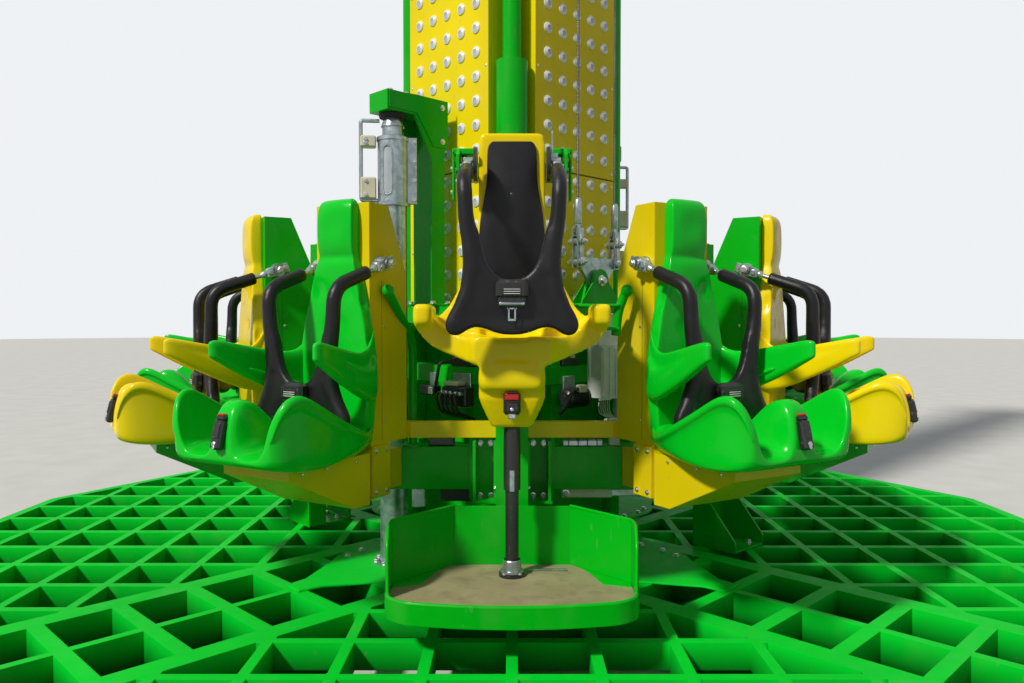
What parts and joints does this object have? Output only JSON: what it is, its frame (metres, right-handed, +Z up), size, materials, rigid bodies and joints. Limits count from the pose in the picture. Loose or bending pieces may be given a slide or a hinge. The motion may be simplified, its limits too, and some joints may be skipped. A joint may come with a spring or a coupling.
{
  "type": "drop tower ride",
  "caption": "Fairground drop tower: square lit mast on a round steel lattice base, with a carriage of bucket seats and standing places that climbs the mast.",
  "frame": {"origin": "centre of the base on the ground, on the mast's axis", "axes": "+Z up along the mast, -Y towards the first standing place, which is the front"},
  "size_m": [5.9, 5.9, 9.8658],
  "materials": {
    "green_paint": "gloss paint",
    "yellow_paint": "gloss paint",
    "panel_yellow": "gloss paint",
    "green_plastic": "moulded, gloss",
    "yellow_plastic": "moulded, gloss",
    "black_pad": "soft moulded foam skin",
    "black_rubber": "matt",
    "black_metal": "satin paint",
    "galvanised": "zinc plated",
    "wire_rope": "stranded, greased",
    "tan_floor": "gritty anti-slip sheet",
    "grey_box": "powder coat"
  },
  "bodies": {
    "tower": {"base_hub": "green_paint", "base_arms": "green_paint", "base_grid_front": "green_paint", "base_grid_right": "green_paint", "base_grid_back": "green_paint", "base_grid_left": "green_paint", "landing_brackets": "green_paint", "mast_core": "green_paint", "guide_rails": "green_paint", "light_panels_front_left": "panel_yellow", "light_panels_front_right": "panel_yellow", "light_panels_back_right": "panel_yellow", "light_panels_back_left": "panel_yellow", "mast_head": "green_paint", "head_sheaves": "galvanised", "cable_returns": "wire_rope", "hoist_cables": "wire_rope", "buffers": "galvanised"},
    "carriage": {"carriage_side_front_left": "green_paint", "carriage_side_front_right": "green_paint", "carriage_side_back_right": "green_paint", "carriage_side_back_left": "green_paint", "carriage_sleeves": "green_paint", "buffer_posts": "green_paint", "buffer_pads": "black_rubber", "hoist_lugs": "green_paint", "hoist_yokes": "galvanised", "ring_beam": "green_paint", "ring_spokes": "green_paint", "yellow_housings": "yellow_paint", "green_housings": "green_paint", "green_seats": "green_plastic", "yellow_seats": "yellow_plastic", "pivot_pins": "galvanised", "pivot_discs": "black_metal", "standing_posts": "green_paint", "standing_shells": "yellow_plastic", "standing_pads": "black_pad", "saddle_posts": "black_metal", "foot_platforms": "green_paint", "floor_mats": "tan_floor", "grab_handles": "green_paint", "guard_rails": "yellow_paint", "control_box": "grey_box"},
    "harness_01": {"harness_01": "black_pad"},
    "harness_02": {"harness_02": "black_pad"},
    "harness_03": {"harness_03": "black_pad"},
    "harness_04": {"harness_04": "black_pad"},
    "harness_05": {"harness_05": "black_pad"},
    "harness_06": {"harness_06": "black_pad"},
    "harness_07": {"harness_07": "black_pad"},
    "harness_08": {"harness_08": "black_pad"},
    "harness_09": {"harness_09": "black_pad"},
    "harness_10": {"harness_10": "black_pad"},
    "harness_11": {"harness_11": "black_pad"},
    "harness_12": {"harness_12": "black_pad"}
  },
  "joints": [
    {"name": "carriage_lift", "type": "slide", "parent": "tower", "child": "carriage", "axis": [0, 0, 1], "range_m": [0, 6.4], "deforming": ["hoist_cables"]},
    {"name": "harness_hinge_01", "type": "hinge", "parent": "carriage", "child": "harness_01", "pos_m": [0, -1.28, 1.93], "axis": [-1, 0, 0], "range_deg": [0, 100]},
    {"name": "harness_hinge_02", "type": "hinge", "parent": "carriage", "child": "harness_02", "pos_m": [0.64, -1.1085, 1.565], "axis": [-0.866, -0.5, 0], "range_deg": [0, 100]},
    {"name": "harness_hinge_03", "type": "hinge", "parent": "carriage", "child": "harness_03", "pos_m": [1.1085, -0.64, 1.565], "axis": [-0.5, -0.866, 0], "range_deg": [0, 100]},
    {"name": "harness_hinge_04", "type": "hinge", "parent": "carriage", "child": "harness_04", "pos_m": [1.28, 0, 1.565], "axis": [0, -1, 0], "range_deg": [0, 100]},
    {"name": "harness_hinge_05", "type": "hinge", "parent": "carriage", "child": "harness_05", "pos_m": [1.1085, 0.64, 1.565], "axis": [0.5, -0.866, 0], "range_deg": [0, 100]},
    {"name": "harness_hinge_06", "type": "hinge", "parent": "carriage", "child": "harness_06", "pos_m": [0.64, 1.1085, 1.565], "axis": [0.866, -0.5, 0], "range_deg": [0, 100]},
    {"name": "harness_hinge_07", "type": "hinge", "parent": "carriage", "child": "harness_07", "pos_m": [0, 1.28, 1.93], "axis": [1, 0, 0], "range_deg": [0, 100]},
    {"name": "harness_hinge_08", "type": "hinge", "parent": "carriage", "child": "harness_08", "pos_m": [-0.64, 1.1085, 1.565], "axis": [0.866, 0.5, 0], "range_deg": [0, 100]},
    {"name": "harness_hinge_09", "type": "hinge", "parent": "carriage", "child": "harness_09", "pos_m": [-1.1085, 0.64, 1.565], "axis": [0.5, 0.866, 0], "range_deg": [0, 100]},
    {"name": "harness_hinge_10", "type": "hinge", "parent": "carriage", "child": "harness_10", "pos_m": [-1.28, 0, 1.565], "axis": [0, 1, 0], "range_deg": [0, 100]},
    {"name": "harness_hinge_11", "type": "hinge", "parent": "carriage", "child": "harness_11", "pos_m": [-1.1085, -0.64, 1.565], "axis": [-0.5, 0.866, 0], "range_deg": [0, 100]},
    {"name": "harness_hinge_12", "type": "hinge", "parent": "carriage", "child": "harness_12", "pos_m": [-0.64, -1.1085, 1.565], "axis": [-0.866, 0.5, 0], "range_deg": [0, 100]}
  ]
}
